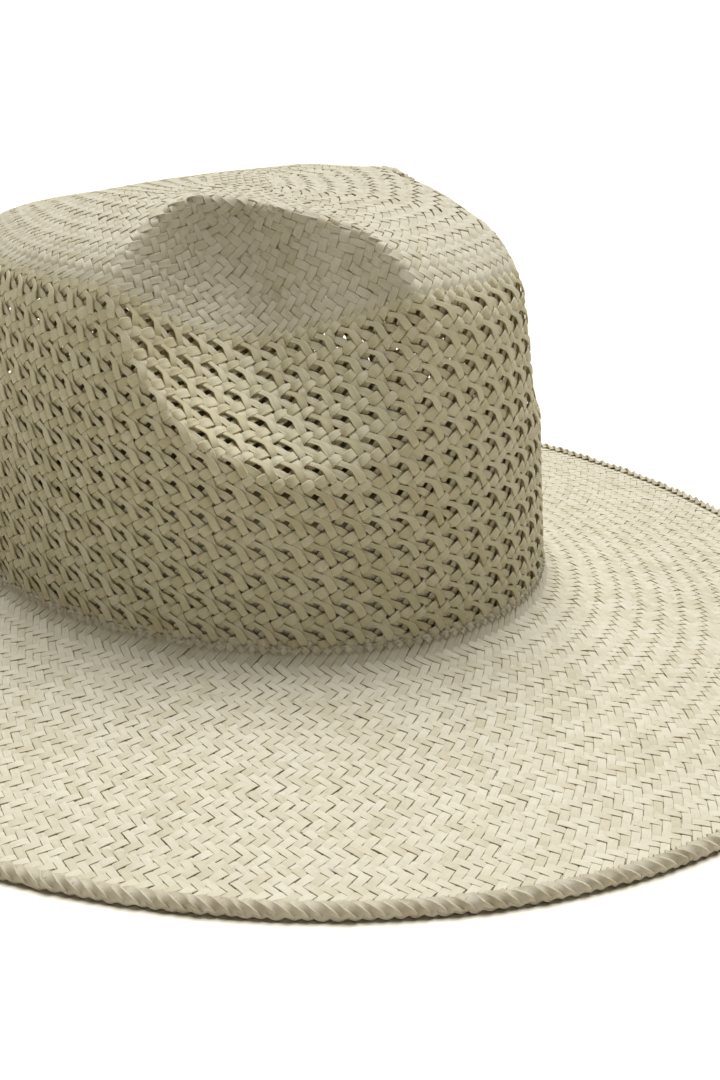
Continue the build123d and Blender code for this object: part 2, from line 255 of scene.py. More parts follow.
class Straws:
    """Collects closed strips of one cross-section and makes them one mesh."""

    def __init__(self, section=FLAT):
        self.v, self.f, self.flow, self.n, self.section = [], [], [], 0, section

    def add(self, pos, nor, width, thick, tint=None):
        """pos, nor: (strips, samples, 3) in mm. width, thick: (strips, samples)."""
        k, m = pos.shape[:2]
        tan = np.gradient(pos, axis=1)
        tan /= np.linalg.norm(tan, axis=-1, keepdims=True) + 1e-9
        side = np.cross(nor, tan)
        side /= np.linalg.norm(side, axis=-1, keepdims=True) + 1e-9
        up = np.cross(tan, side)
        sec, s = self.section, len(self.section)
        v = (pos[:, :, None] + side[:, :, None] * (sec[:, 0] * width[..., None] / 2)[..., None]
             + up[:, :, None] * (sec[:, 1] * thick[..., None] / 2)[..., None])
        along = np.concatenate([np.zeros((k, 1)), np.cumsum(np.linalg.norm(np.diff(pos, axis=1), axis=-1), 1)], 1)
        ident = rng.random(k) if tint is None else tint
        flow = np.empty((k, m, s, 3))
        flow[..., 0] = along[:, :, None]
        flow[..., 1] = sec[:, 0]
        flow[..., 2] = ident[:, None, None]
        base = self.n + np.arange(k)[:, None, None] * m * s
        i = np.arange(m - 1)[None, :, None] * s
        j = np.arange(s)[None, None]
        jn = (j + 1) % s
        quad = np.stack([base + i + j, base + i + jn, base + i + s + jn, base + i + s + j], -1)
        self.f.append(quad.reshape(-1, 4))
        b = (self.n + np.arange(k) * m * s)[:, None]
        e = b + (m - 1) * s
        ring = np.arange(s)
        for c, o in ((b, ring[::-1]), (e, ring)):
            self.f.append(np.concatenate([c + o[[0, 1, 6, 7]], c + o[[1, 2, 5, 6]], c + o[[2, 3, 4, 5]]], 0))
        self.v.append(v.reshape(-1, 3))
        self.flow.append(flow.reshape(-1, 3))
        self.n += k * m * s

    def build(self, name, mat):
        v, f = np.concatenate(self.v) * MM, np.concatenate(self.f)
        me = bpy.data.meshes.new(name)
        me.vertices.add(len(v))
        me.vertices.foreach_set("co", v.ravel())
        me.loops.add(f.size)
        me.loops.foreach_set("vertex_index", f.ravel().astype(np.int32))
        me.polygons.add(len(f))
        me.polygons.foreach_set("loop_start", np.arange(0, f.size, 4, dtype=np.int32))
        me.polygons.foreach_set("use_smooth", np.ones(len(f), bool))
        me.update(calc_edges=True)
        a = me.attributes.new("flow", "FLOAT_VECTOR", "POINT")
        a.data.foreach_set("vector", np.concatenate(self.flow).ravel())
        if self.section is FLAT:
            # crisp corners along each strip
            e = np.empty(len(me.edges) * 2, np.int32)
            me.edges.foreach_get("vertices", e)
            e = e.reshape(-1, 2)
            hard = (np.abs(e[:, 0] - e[:, 1]) == 8) & np.isin(e[:, 0] % 8, (1, 4, 6, 7))
            me.attributes.new("sharp_edge", "BOOLEAN", "EDGE").data.foreach_set("value", hard)
        me.materials.append(mat)
        ob = bpy.data.objects.new(name, me)
        bpy.context.scene.collection.objects.link(ob)
        print(name, 2 * len(f), "triangles")
        return ob


def wander(k, m, step, size):
    """Slow random drift along each of k strips."""
    n = max(int(m / step) + 3, 4)
    knots = rng.normal(0, size, (k, n))
    x = np.linspace(0, n - 1.001, m)
    i = x.astype(int)
    f = x - i
    f = f * f * (3 - 2 * f)
    return knots[:, i] * (1 - f) + knots[:, i + 1] * f


def spacing(skin, c, r, n):
    """How far apart two neighbours are, square to their run."""
    p = skin.at(c, r)
    q = skin.at(c + 1.0 / n, r) - p
    t = np.gradient(p, axis=1)
    t /= np.linalg.norm(t, axis=-1, keepdims=True) + 1e-9
    return np.linalg.norm(np.cross(q, t), axis=-1)


STRAW_T, LIFT, DEPTH = 0.42, 0.20, 0.64
STEPS = np.array([-1.24, -0.78, 0.0, 0.78, 1.24, 2.0])   # in crossings from the middle of a float


def closed_weave(straws, skin, row_of, n, v0, v1, lean, turn=0.0, fill=1.07, thick=STRAW_T, lift=LIFT, depth=DEPTH):
    """One family of a two-over, two-under weave on n strips, from crossing row v0 to v1.
    row_of turns a crossing number to the skin's row. lean +1 runs right and down, -1 left and down."""
    marks = (0.5 if lean > 0 else 2.5) + 4 * np.arange(-2, (v1 - v0) / 4 + 3)[:, None] + v0 + STEPS[None]
    v = np.unique(np.round(marks.ravel(), 3))
    v = v[(v > v0 - 0.15) & (v < v1 + 0.15)]
    v = np.concatenate([[v0 - 0.55], v, [v1 + 0.55]])
    k, m = n, len(v)
    c = (np.arange(k)[:, None] + lean * (v - v0)[None] / 2 + turn + wander(k, m, 6, 0.05)) / n
    r = row_of(v)[None] + 0 * c
    x = np.abs(np.mod(v - v0 - (0.5 if lean > 0 else 2.5) + 2, 4) - 2)
    over = 1 - 2 * np.clip((x - 0.78) / 0.46, 0, 1)
    end = smooth(np.minimum(v - v0, v1 - v), -0.5, 0.35)
    h = -depth + lift * (over * end - 0.9 * (1 - end)) + 0.09 * np.clip(1 - x / 0.7, 0, 1)
    h = h[None] + wander(k, m, 5, 0.035)
    pos = skin.at(c, r) + skin.at(c, r, "n") * h[..., None]
    w = np.clip(spacing(skin, c, r, n), 1.1, 3.4) * fill * (0.95 + 0.05 * over)[None]
    w = w * (1 + rng.normal(0, 0.03, (k, 1)))
    straws.add(pos, skin.at(c, r, "n"), w, np.full((k, m), thick))


def zone(straws, skin, row_of, n, pair0, pair1, **how):
    turn = rng.random()
    closed_weave(straws, skin, row_of, n, 4 * pair0, 4 * pair1, +1, turn, **how)
    closed_weave(straws, skin, row_of, n, 4 * pair0, 4 * pair1, -1, turn, **how)


# ------------------------------------------------------------------ materials
def nodes_of(mat):
    mat.use_nodes = True
    nt = mat.node_tree
    nt.nodes.clear()
    out = nt.nodes.new("ShaderNodeOutputMaterial")
    bsdf = nt.nodes.new("ShaderNodeBsdfPrincipled")
    nt.links.new(bsdf.outputs[0], out.inputs[0])
    return nt, bsdf


def node(nt, kind, **sets):
    n = nt.nodes.new(kind)
    for k, v in sets.items():
        if hasattr(n, k):
            setattr(n, k, v)
        else:
            n.inputs[k.replace("_", " ")].default_value = v
    return n


def srgb(r, g, b):
    f = lambda c: (c / 255 / 12.92) if c / 255 <= 0.04045 else ((c / 255 + 0.055) / 1.055) ** 2.4
    return (f(r), f(g), f(b), 1)


def straw_material(name, light, dark, warm, glow=(0.74, 0.60, 0.27, 1), rough=0.62, thin=0.22):
    mat = bpy.data.materials.new(name)
    nt, b = nodes_of(mat)
    at = node(nt, "ShaderNodeAttribute", attribute_name="flow")
    sep = nt.nodes.new("ShaderNodeSeparateXYZ")
    nt.links.new(at.outputs["Vector"], sep.inputs[0])
    # stretched coordinates: fibres run along the strip
    comb = nt.nodes.new("ShaderNodeCombineXYZ")
    for i, k in enumerate((0.35, 2.6, 61.0)):
        mul = node(nt, "ShaderNodeMath", operation="MULTIPLY")
        mul.inputs[1].default_value = k
        nt.links.new(sep.outputs[i], mul.inputs[0])
        nt.links.new(mul.outputs[0], comb.inputs[i])
    fibre = node(nt, "ShaderNodeTexNoise", Scale=2.2, Detail=5.0, Roughness=0.62)
    nt.links.new(comb.outputs[0], fibre.inputs["Vector"])
    tc = nt.nodes.new("ShaderNodeTexCoord")
    blotch = node(nt, "ShaderNodeTexNoise", Scale=160.0, Detail=3.0, Roughness=0.55)
    nt.links.new(tc.outputs["Object"], blotch.inputs["Vector"])
    grain = node(nt, "ShaderNodeTexNoise", Scale=2600.0, Detail=2.0, Roughness=0.6)
    nt.links.new(tc.outputs["Object"], grain.inputs["Vector"])
    # each strip has its own shade
    wn = node(nt, "ShaderNodeTexWhiteNoise", noise_dimensions="1D")
    nt.links.new(sep.outputs[2], wn.inputs["W"])
    shade = node(nt, "ShaderNodeMath", operation="MULTIPLY")
    shade.inputs[1].default_value = 6.28
    nt.links.new(wn.outputs["Value"], shade.inputs[0])
    ramp = nt.nodes.new("ShaderNodeValToRGB")
    ramp.color_ramp.elements[0].color, ramp.color_ramp.elements[1].color = dark, light
    ramp.color_ramp.elements[0].position, ramp.color_ramp.elements[1].position = 0.0, 0.75
    e = ramp.color_ramp.elements.new(0.35)
    e.color = warm
    nt.links.new(wn.outputs["Value"], ramp.inputs[0])
    r2 = nt.nodes.new("ShaderNodeValToRGB")
    r2.color_ramp.elements[0].position, r2.color_ramp.elements[1].position = 0.32, 0.68
    r2.color_ramp.elements[0].color, r2.color_ramp.elements[1].color = (0.86, 0.84, 0.79, 1), (1, 1, 1, 1)
    nt.links.new(fibre.outputs[0], r2.inputs[0])
    r3 = nt.nodes.new("ShaderNodeValToRGB")
    r3.color_ramp.elements[0].position, r3.color_ramp.elements[1].position = 0.3, 0.7
    r3.color_ramp.elements[0].color, r3.color_ramp.elements[1].color = (0.93, 0.92, 0.88, 1), (1, 1, 1, 1)
    nt.links.new(blotch.outputs[0], r3.inputs[0])
    m1 = node(nt, "ShaderNodeMix", data_type="RGBA", blend_type="MULTIPLY")
    m1.inputs[0].default_value = 0.9
    nt.links.new(ramp.outputs[0], m1.inputs[6])
    nt.links.new(r2.outputs[0], m1.inputs[7])
    m2 = node(nt, "ShaderNodeMix", data_type="RGBA", blend_type="MULTIPLY")
    m2.inputs[0].default_value = 1.0
    nt.links.new(m1.outputs[2], m2.inputs[6])
    nt.links.new(r3.outputs[0], m2.inputs[7])
    nt.links.new(m2.outputs[2], b.inputs["Base Color"])
    rr = node(nt, "ShaderNodeMapRange")
    rr.inputs[3].default_value, rr.inputs[4].default_value = rough - 0.1, rough + 0.12
    nt.links.new(fibre.outputs[0], rr.inputs[0])
    nt.links.new(rr.outputs[0], b.inputs["Roughness"])
    ph = node(nt, "ShaderNodeMath", operation="MULTIPLY_ADD")
    ph.inputs[1].default_value = 4.6
    nt.links.new(sep.outputs[1], ph.inputs[0])
    nt.links.new(shade.outputs[0], ph.inputs[2])
    crease = node(nt, "ShaderNodeMath", operation="SINE")
    nt.links.new(ph.outputs[0], crease.inputs[0])
    add0 = node(nt, "ShaderNodeMath", operation="MULTIPLY_ADD")
    add0.inputs[1].default_value = 0.32
    nt.links.new(crease.outputs[0], add0.inputs[0])
    nt.links.new(fibre.outputs[0], add0.inputs[2])
    add = node(nt, "ShaderNodeMath", operation="MULTIPLY_ADD")
    add.inputs[1].default_value = 0.35
    nt.links.new(grain.outputs[0], add.inputs[0])
    nt.links.new(add0.outputs[0], add.inputs[2])
    bump = node(nt, "ShaderNodeBump", Strength=0.55, Distance=0.00016)
    nt.links.new(add.outputs[0], bump.inputs["Height"])
    nt.links.new(bump.outputs[0], b.inputs["Normal"])
    b.inputs["Specular IOR Level"].default_value = 0.38
    b.inputs["Sheen Weight"].default_value = 0.12
    b.inputs["Sheen Roughness"].default_value = 0.5
    through = node(nt, "ShaderNodeBsdfTranslucent", Color=glow)
    nt.links.new(bump.outputs[0], through.inputs["Normal"])
    mixed = nt.nodes.new("ShaderNodeMixShader")
    mixed.inputs[0].default_value = thin
    nt.links.new(b.outputs[0], mixed.inputs[1])
    nt.links.new(through.outputs[0], mixed.inputs[2])
    nt.links.new(mixed.outputs[0], nt.nodes["Material Output"].inputs[0])
    return mat


straw = straw_material("straw_close", srgb(235, 231, 213), srgb(219, 213, 189), srgb(228, 223, 203))
# painted shade: the open wall's straw is a warmer, slightly darker copy of the same straw, standing in for the warm
# shade the wall sits in
straw_open_painted_shade = straw_material("straw_open_painted_shade", srgb(234, 228, 203), srgb(217, 209, 176), srgb(226, 220, 190))
# painted shade: the folded edge's straw is a darker, greyer copy of the same straw, standing in for the shade on its
# side that faces the camera
straw_rim_painted_shade = straw_material("straw_rim_painted_shade", srgb(220, 213, 195), srgb(198, 190, 168), srgb(210, 203, 182))

# ------------------------------------------------------------------ crown tip: close weave, more strips further out
made = {}
TIP_PAIRS = 14
tip_row = lambda v: np.asarray(v) / (4 * TIP_PAIRS) * TIP_END
zones = [(1, 2, 18), (2, 3, 28), (3, 4, 40), (4, 6, 56), (6, 8, 78), (8, 10, 102), (10, 12, 128), (12, 14, 152)]
firm = dict(thick=0.5, lift=0.33, depth=0.84)   # the crown's straws stand up more than the pressed brim's
s = Straws()
for a, b_, n in zones[:6]:
    zone(s, crown, tip_row, n, a, b_, **firm)
# the start of the plait, a small square of plain weave over the middle
patch = []
apex = crown.p[0].mean(0)
size, pitch = 9, 2.25
line = np.linspace(-9.6, 9.6, 41)


def on_top(x, y):
    """Height of the crown over the point (x, y), from the skin's first rows."""
    g = crown.p[:60]
    r = np.hypot(g[..., 0], g[..., 1] - apex[1]).mean(1)
    a = np.arctan2(x, -(y - apex[1])) / (2 * np.pi)
    rr = np.hypot(x, y - apex[1])
    return crown.at(a, np.interp(rr, r, np.arange(60) / (len(crown.p) - 1)))


for fam in (0, 1):
    k = np.arange(size) - (size - 1) / 2
    u = np.repeat(line[None], size, 0)
    q = np.repeat(k[:, None] * pitch, len(line), 1) + wander(size, len(line), 9, 0.06)
    ca = math.cos(math.radians(45))
    X, Y = (u, q) if fam == 0 else (q, u)
    X, Y = (X - Y) * ca, (X + Y) * ca + apex[1]
    P = on_top(X, Y)
    over = np.cos(np.pi * (u / pitch)) * ((-1.0) ** (np.arange(size) + fam))[:, None]
    edge = smooth(9.6 - np.abs(u), 0.0, 1.2)
    h = -DEPTH + 0.22 + LIFT * np.clip(over * 1.3, -1, 1) * edge - 0.75 * (1 - edge)
    P = P + np.array([0, 0, 1.0]) * h[..., None]
    s.add(P, np.broadcast_to(np.array([0, 0, 1.0]), P.shape), np.full(u.shape, 2.0), np.full(u.shape, STRAW_T))
made["crown_tip_weave_a"] = s.build("crown_tip_weave_a", straw)
s = Straws()
for a, b_, n in zones[6:]:
    zone(s, crown, tip_row, n, a, b_, **firm)
made["crown_tip_weave_b"] = s.build("crown_tip_weave_b", straw)

# ------------------------------------------------------------------ crown wall: open weave
VENTS, CELLS = 12, 74
vent_row = lambda y: TIP_END + np.asarray(y) / VENTS * (1 - TIP_END)


def run(straws, xs, ys, hs, ws, first, n_rows, per, shift, sense=1):
    """A strip that repeats every per rows: its way through one repeat, in cells and rows, read again down the wall."""
    xs, ys, hs, ws = (np.array(a, float) for a in (xs, ys, hs, ws))
    reps = int(math.ceil(n_rows / per)) + 2
    X = np.concatenate([xs + sense * per * i for i in range(-1, reps)]) + first
    Y = np.concatenate([ys + per * i for i in range(-1, reps)]) + shift
    H, W = np.tile(hs, reps + 1), np.tile(ws, reps + 1)
    keep = (Y > -0.28) & (Y < n_rows + 0.28)
    X, Y, H, W = X[keep], Y[keep], H[keep], W[keep]
    k, m = CELLS, len(X)
    c = (X[None] + np.arange(k)[:, None] + wander(k, m, 7, 0.022)) / CELLS
    y = Y[None] + wander(k, m, 7, 0.02)
    end = smooth(np.minimum(Y + 0.28, n_rows + 0.28 - Y), 0.0, 0.3)
    h = -1.0 + (1.3 * H * end - 0.4 * (1 - end))[None] + wander(k, m, 5, 0.04)
    r = vent_row(y)
    pos = crown.at(c, r) + crown.at(c, r, "n") * h[..., None]
    straws.add(pos, crown.at(c, r, "n"), W[None] * (1 + rng.normal(0, 0.05, (k, 1))) + 0 * c, np.full((k, m), 0.58))


# way of each strip through one cell: x right in cells, y down in rows, height over the middle of the straw, width
S1 = ([0.00, 0.08, 0.145, 0.20, 0.265, 0.34, 0.46, 0.63, 0.81, 0.93],
      [0.02, 0.13, 0.25, 0.37, 0.48, 0.56, 0.625, 0.71, 0.83, 0.93],
      [-0.30, 0.06, 0.34, 0.36, 0.16, -0.04, 0.02, 0.04, -0.02, -0.24],
      [2.0, 2.2, 2.4, 2.3, 1.9, 1.8, 2.0, 2.2, 2.1, 1.9])
S2 = ([0.485, 0.555, 0.65, 0.80, 0.96, 1.08, 1.17, 1.245, 1.32, 1.39, 1.44],
      [0.150, 0.205, 0.26, 0.325, 0.395, 0.465, 0.56, 0.69, 0.83, 0.95, 1.06],
      [-0.30, 0.0, 0.28, 0.36, 0.42, 0.52, 0.60, 0.62, 0.56, 0.34, -0.1],
      [1.8, 1.6, 1.45, 1.4, 1.5, 1.8, 2.15, 2.3, 2.25, 2.1, 1.9])
B1 = ([-0.20, -0.13, 0.0, 0.13, 0.20, 0.34, 0.50, 0.66],
      [0.15, 0.09, 0.0, -0.09, -0.15, -0.30, -0.50, -0.70],
      [-0.05, 0.42, 0.52, 0.42, -0.05, -0.36, -0.44, -0.36],
      [2.4, 2.8, 2.9, 2.7, 2.3, 2.15, 2.1, 2.15])
B2 = ([0.30, 0.365, 0.485, 0.605, 0.67, 0.82, 0.985, 1.15],
      [0.29, 0.235, 0.150, 0.06, 0.0, -0.16, -0.35, -0.54],
      [-0.08, 0.36, 0.46, 0.36, -0.08, -0.36, -0.44, -0.36],
      [2.2, 2.5, 2.55, 2.4, 2.1, 2.1, 2.1, 2.1])
for name, way, sense in (("crown_wall_weave_a", S1, 1), ("crown_wall_weave_b", S2, 1), ("crown_wall_weave_c", B1, -1), ("crown_wall_weave_d", B2, -1)):
    s = Straws()
    run(s, *(list(np.array(q)[::sense]) for q in way), 0.0, VENTS, 1, 0.0, sense)
    made[name] = s.build(name, straw_open_painted_shade)

# ------------------------------------------------------------------ brim: close weave, more strips further out
BRIM_PAIRS = 15
brim_row = lambda v: np.asarray(v) / (4 * BRIM_PAIRS)
for name, group in (("brim_weave_a", [(0, 3, 204)]), ("brim_weave_b", [(3, 5, 224)]), ("brim_weave_c", [(5, 7, 248)]),
                    ("brim_weave_d", [(7, 9, 272)]), ("brim_weave_e", [(9, 11, 296)]), ("brim_weave_f", [(11, 13, 320)]),
                    ("brim_weave_g", [(13, 15, 344)])):
    s = Straws()
    for a, b_, n in group:
        zone(s, brim, brim_row, n, a, b_)
    made[name] = s.build(name, straw)

# ------------------------------------------------------------------ folded edge: strips turn over the rim and go back in
RIM = 348


def rim_at(c, w, z):
    """Point at turn c round the rim, w from the crown's foot, height z."""
    g = brim.p[-1]
    p = brim.at(c, np.full(np.shape(c), 1.0))
    q = brim.at(c, np.full(np.shape(c), 0.97))
    out = p - q
    out[..., 2] = 0
    out /= np.linalg.norm(out, axis=-1, keepdims=True)
    res = p + out * (np.asarray(w) - 83.9)[..., None]
    res[..., 2] = z
    return res, out


s = Straws()
k = RIM
# outer wraps: each comes up through the weave, turns over the rim and runs down and to the right, over its neighbour
w = np.array([83.0, 83.8, 84.6, 85.3, 85.75, 86.05, 86.1, 85.7, 84.7, 83.2, 81.6, 80.4])
z = np.array([2.10, 2.62, 2.92, 2.84, 2.50, 1.98, 1.36, 0.80, 0.44, 0.36, 0.42, 0.75])
x = np.array([-1.15, -0.95, -0.72, -0.50, -0.28, 0.0, 0.32, 0.62, 0.85, 1.05, 1.25, 1.4])
wide = np.array([1.7, 2.1, 2.6, 3.1, 3.5, 3.7, 3.7, 3.6, 3.3, 3.0, 2.6, 2.2])
ang = np.array([74, 74, 70, 50, 26, 6, -12, -45, -75, -88, -90, -90])
roll = 0.11 * np.array([0, 0.3, 0.8, 1, 1, 1, 1, 1, 1, 0.8, 0.4, 0])
m = len(w)
jig = wander(k, m, 5, 0.10)
c = (np.arange(k)[:, None] + x[None] + jig) / RIM
pos, out = rim_at(c, w[None] + wander(k, m, 6, 0.10), z[None] + wander(k, m, 6, 0.05))
nor = out * np.cos(np.radians(ang))[None, :, None] + np.array([0, 0, 1.0]) * np.sin(np.radians(ang))[None, :, None]
run_dir = np.cross(out, np.array([0, 0, 1.0]))
nor = nor + run_dir * roll[None, :, None]
nor /= np.linalg.norm(nor, axis=-1, keepdims=True)
s.add(pos, nor, wide[None] * (1 + rng.normal(0, 0.07, (k, 1))), np.full((k, m), 0.55))
# inner wraps: the other family, turned the other way beneath
w = np.array([82.6, 83.4, 84.2, 84.9, 85.3, 85.45, 85.2, 84.3, 82.9, 81.4])
z = np.array([2.05, 2.40, 2.58, 2.46, 2.10, 1.60, 1.10, 0.85, 0.80, 0.95])
x = -np.linspace(-1.0, 1.2, len(w))
ang = np.array([78, 72, 60, 36, 14, 0, -22, -60, -82, -90])
m = len(w)
c = (np.arange(k)[:, None] + 0.5 + x[None] + wander(k, m, 8, 0.05)) / RIM
pos, out = rim_at(c, w[None] + 0 * c, z[None] + 0 * c)
nor = out * np.cos(np.radians(ang))[None, :, None] + np.array([0, 0, 1.0]) * np.sin(np.radians(ang))[None, :, None]
s.add(pos, nor, np.full((k, m), 2.5), np.full((k, m), 0.5))
made["brim_edge_fold"] = s.build("brim_edge_fold", straw_rim_painted_shade)

for name, ob in made.items():
    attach(ob, "hat")
    nodes = {"crown_tip": "crown_tip", "crown_wall": "crown_wall", "brim_weave": "brim", "brim_edge": "brim_edge"}
    for k, v in nodes.items():
        if name.startswith(k):
            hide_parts(v)

# ------------------------------------------------------------------ inside: sweatband, its tape and stitches, the label on its thread
BAND_T, BAND_GAP, BAND_Z0, BAND_H, CAD_STRAW = 0.9, 0.35, 13.2, 32.0, 1.6


def band_at(t, z, depth):
    """Point on the sweatband: t turns from the front by +X, depth in from its outer face."""
    s = taper(z - FOOT_Z) + CAD_STRAW + BAND_GAP + depth
    a = 2 * np.pi * t
    return np.stack([np.sin(a) * (HEAD_A - s), -np.cos(a) * (HEAD_B - s) + CROWN_Y, z + 0 * a], -1)


def band_in(t):
    n = np.stack([-np.sin(2 * np.pi * t) / HEAD_A, np.cos(2 * np.pi * t) / HEAD_B, 0 * t], -1)
    return n / np.linalg.norm(n, axis=-1, keepdims=True)


def mesh_from(name, v, f, mat, hard=False, uv=None):
    me = bpy.data.meshes.new(name)
    me.from_pydata([tuple(p) for p in np.asarray(v) * MM], [], [tuple(int(i) for i in q) for q in f])
    me.polygons.foreach_set("use_smooth", np.full(len(me.polygons), not hard))
    if uv is not None:
        a = me.attributes.new("flow", "FLOAT_VECTOR", "POINT")
        a.data.foreach_set("vector", np.asarray(uv, float).ravel())
    me.update(calc_edges=True)
    me.materials.append(mat)
    ob = bpy.data.objects.new(name, me)
    bpy.context.scene.collection.objects.link(ob)
    print(name, sum(len(q) - 2 for q in f), "triangles")
    return ob


def cloth_material(name, color, deep, scale, kind="twill", rough=0.85, fuzz=0.35):
    """Woven cloth: threads counted on the piece's own flow, in mm."""
    mat = bpy.data.materials.new(name)
    nt, b = nodes_of(mat)
    at = node(nt, "ShaderNodeAttribute", attribute_name="flow")
    sep = nt.nodes.new("ShaderNodeSeparateXYZ")
    nt.links.new(at.outputs["Vector"], sep.inputs[0])

    def wave(i, k, ph=0.0):
        m = node(nt, "ShaderNodeMath", operation="MULTIPLY_ADD")
        m.inputs[1].default_value, m.inputs[2].default_value = k * 6.2832, ph
        nt.links.new(sep.outputs[i], m.inputs[0])
        w = node(nt, "ShaderNodeMath", operation="SINE")
        nt.links.new(m.outputs[0], w.inputs[0])
        return w
    x, y = wave(0, scale), wave(1, scale * (0.82 if kind == "plain" else 1.35))
    prod = node(nt, "ShaderNodeMath", operation="MULTIPLY")
    nt.links.new(x.outputs[0], prod.inputs[0])
    nt.links.new(y.outputs[0], prod.inputs[1])
    tc = nt.nodes.new("ShaderNodeTexCoord")
    fine = node(nt, "ShaderNodeTexNoise", Scale=3200.0, Detail=3.0, Roughness=0.65)
    nt.links.new(tc.outputs["Object"], fine.inputs["Vector"])
    blotch = node(nt, "ShaderNodeTexNoise", Scale=90.0, Detail=3.0)
    nt.links.new(tc.outputs["Object"], blotch.inputs["Vector"])
    h = node(nt, "ShaderNodeMath", operation="MULTIPLY_ADD")
    h.inputs[1].default_value = 0.30
    nt.links.new(prod.outputs[0], h.inputs[0])
    nt.links.new(fine.outputs[0], h.inputs[2])
    ramp = nt.nodes.new("ShaderNodeValToRGB")
    ramp.color_ramp.elements[0].position, ramp.color_ramp.elements[1].position = 0.15, 0.85
    ramp.color_ramp.elements[0].color, ramp.color_ramp.elements[1].color = deep, color
    nt.links.new(h.outputs[0], ramp.inputs[0])
    r3 = nt.nodes.new("ShaderNodeValToRGB")
    r3.color_ramp.elements[0].position, r3.color_ramp.elements[1].position = 0.3, 0.7
    r3.color_ramp.elements[0].color, r3.color_ramp.elements[1].color = (0.90, 0.89, 0.86, 1), (1, 1, 1, 1)
    nt.links.new(blotch.outputs[0], r3.inputs[0])
    m2 = node(nt, "ShaderNodeMix", data_type="RGBA", blend_type="MULTIPLY")
    m2.inputs[0].default_value = 1.0
    nt.links.new(ramp.outputs[0], m2.inputs[6])
    nt.links.new(r3.outputs[0], m2.inputs[7])
    nt.links.new(m2.outputs[2], b.inputs["Base Color"])
    rr = node(nt, "ShaderNodeMapRange")
    rr.inputs[3].default_value, rr.inputs[4].default_value = rough - 0.08, min(rough + 0.12, 1.0)
    nt.links.new(fine.outputs[0], rr.inputs[0])
    nt.links.new(rr.outputs[0], b.inputs["Roughness"])
    bump = node(nt, "ShaderNodeBump", Strength=0.7, Distance=0.00018)
    nt.links.new(h.outputs[0], bump.inputs["Height"])
    nt.links.new(bump.outputs[0], b.inputs["Normal"])
    b.inputs["Sheen Weight"].default_value = fuzz
    b.inputs["Sheen Roughness"].default_value = 0.45
    b.inputs["Specular IOR Level"].default_value = 0.25
    return mat


def metal_material(name, color, rough, along):
    mat = bpy.data.materials.new(name)
    nt, b = nodes_of(mat)
    tc = nt.nodes.new("ShaderNodeTexCoord")
    mp = nt.nodes.new("ShaderNodeMapping")
    mp.inputs["Scale"].default_value = along
    nt.links.new(tc.outputs["Object"], mp.inputs[0])
    n = node(nt, "ShaderNodeTexNoise", Scale=900.0, Detail=4.0)
    nt.links.new(mp.outputs[0], n.inputs["Vector"])
    ramp = nt.nodes.new("ShaderNodeValToRGB")
    c = np.array(color[:3])
    ramp.color_ramp.elements[0].color, ramp.color_ramp.elements[1].color = (*(c * 0.72), 1), (*c, 1)
    ramp.color_ramp.elements[0].position, ramp.color_ramp.elements[1].position = 0.3, 0.65
    nt.links.new(n.outputs[0], ramp.inputs[0])
    nt.links.new(ramp.outputs[0], b.inputs["Base Color"])
    rr = node(nt, "ShaderNodeMapRange")
    rr.inputs[3].default_value, rr.inputs[4].default_value = rough - 0.08, rough + 0.14
    nt.links.new(n.outputs[0], rr.inputs[0])
    nt.links.new(rr.outputs[0], b.inputs["Roughness"])
    bump = node(nt, "ShaderNodeBump", Strength=0.25, Distance=0.00003)
    nt.links.new(n.outputs[0], bump.inputs["Height"])
    nt.links.new(bump.outputs[0], b.inputs["Normal"])
    b.inputs["Metallic"].default_value = 1.0
    return mat


band_cloth = cloth_material("band_cotton", srgb(238, 233, 219), srgb(200, 193, 175), 2.2)
tape_cloth = cloth_material("band_tape", srgb(236, 230, 213), srgb(196, 187, 165), 1.6, "plain")
label_cloth = cloth_material("label_satin", srgb(246, 243, 234), srgb(216, 211, 198), 3.2, "plain", rough=0.6, fuzz=0.2)
thread_mat = cloth_material("sewing_thread", srgb(233, 226, 206), srgb(186, 176, 150), 1.5, "plain", rough=0.7)

# ribbed band: a closed loop of cloth, its ribs running across its width
RIBS = 480
t = np.arange(RIBS * 4) / (RIBS * 4)
rib = np.cos(2 * np.pi * RIBS * t)
prof = [(13.45, 0.28), (13.22, 0.45), (13.40, 0.66)] + [(z, 0.72) for z in np.linspace(14.2, 44.2, 13)] \
    + [(44.9, 0.68), (45.15, 0.45), (44.95, 0.20)] + [(z, 0.12) for z in np.linspace(43.5, 15.0, 6)]
rows = []
for z, d in prof:
    amp = 0.13 * smooth(np.array(z), 13.2, 14.6) * (1 - smooth(np.array(z), 44.0, 45.1)) * (1 if d > 0.5 else 0.3)
    rows.append(band_at(t, z + 0.10 * rib * (z > 44.5), d + amp * rib))
P = np.stack(rows)                                     # profile points by columns
nr, nc = P.shape[:2]
i, j = np.meshgrid(np.arange(nr), np.arange(nc), indexing="ij")
i1, j1 = (i + 1) % nr, (j + 1) % nc
F = np.stack([i * nc + j, i1 * nc + j, i1 * nc + j1, i * nc + j1], -1).reshape(-1, 4)
arc = np.linalg.norm(np.diff(np.concatenate([P[8], P[8][:1]]), axis=0), axis=-1)
U = np.concatenate([[0], np.cumsum(arc)[:-1]])
flow = np.stack([np.broadcast_to(U, (nr, nc)), P[..., 2], 0 * P[..., 2]], -1)
sweat = mesh_from("sweatband_ribbed", P.reshape(-1, 3), F, band_cloth, uv=flow.reshape(-1, 3))
ring_len = float(np.linalg.norm(np.diff(band_at(np.linspace(0, 1, 1441), np.full(1441, 29.0), 0.5), axis=0), axis=-1).sum())


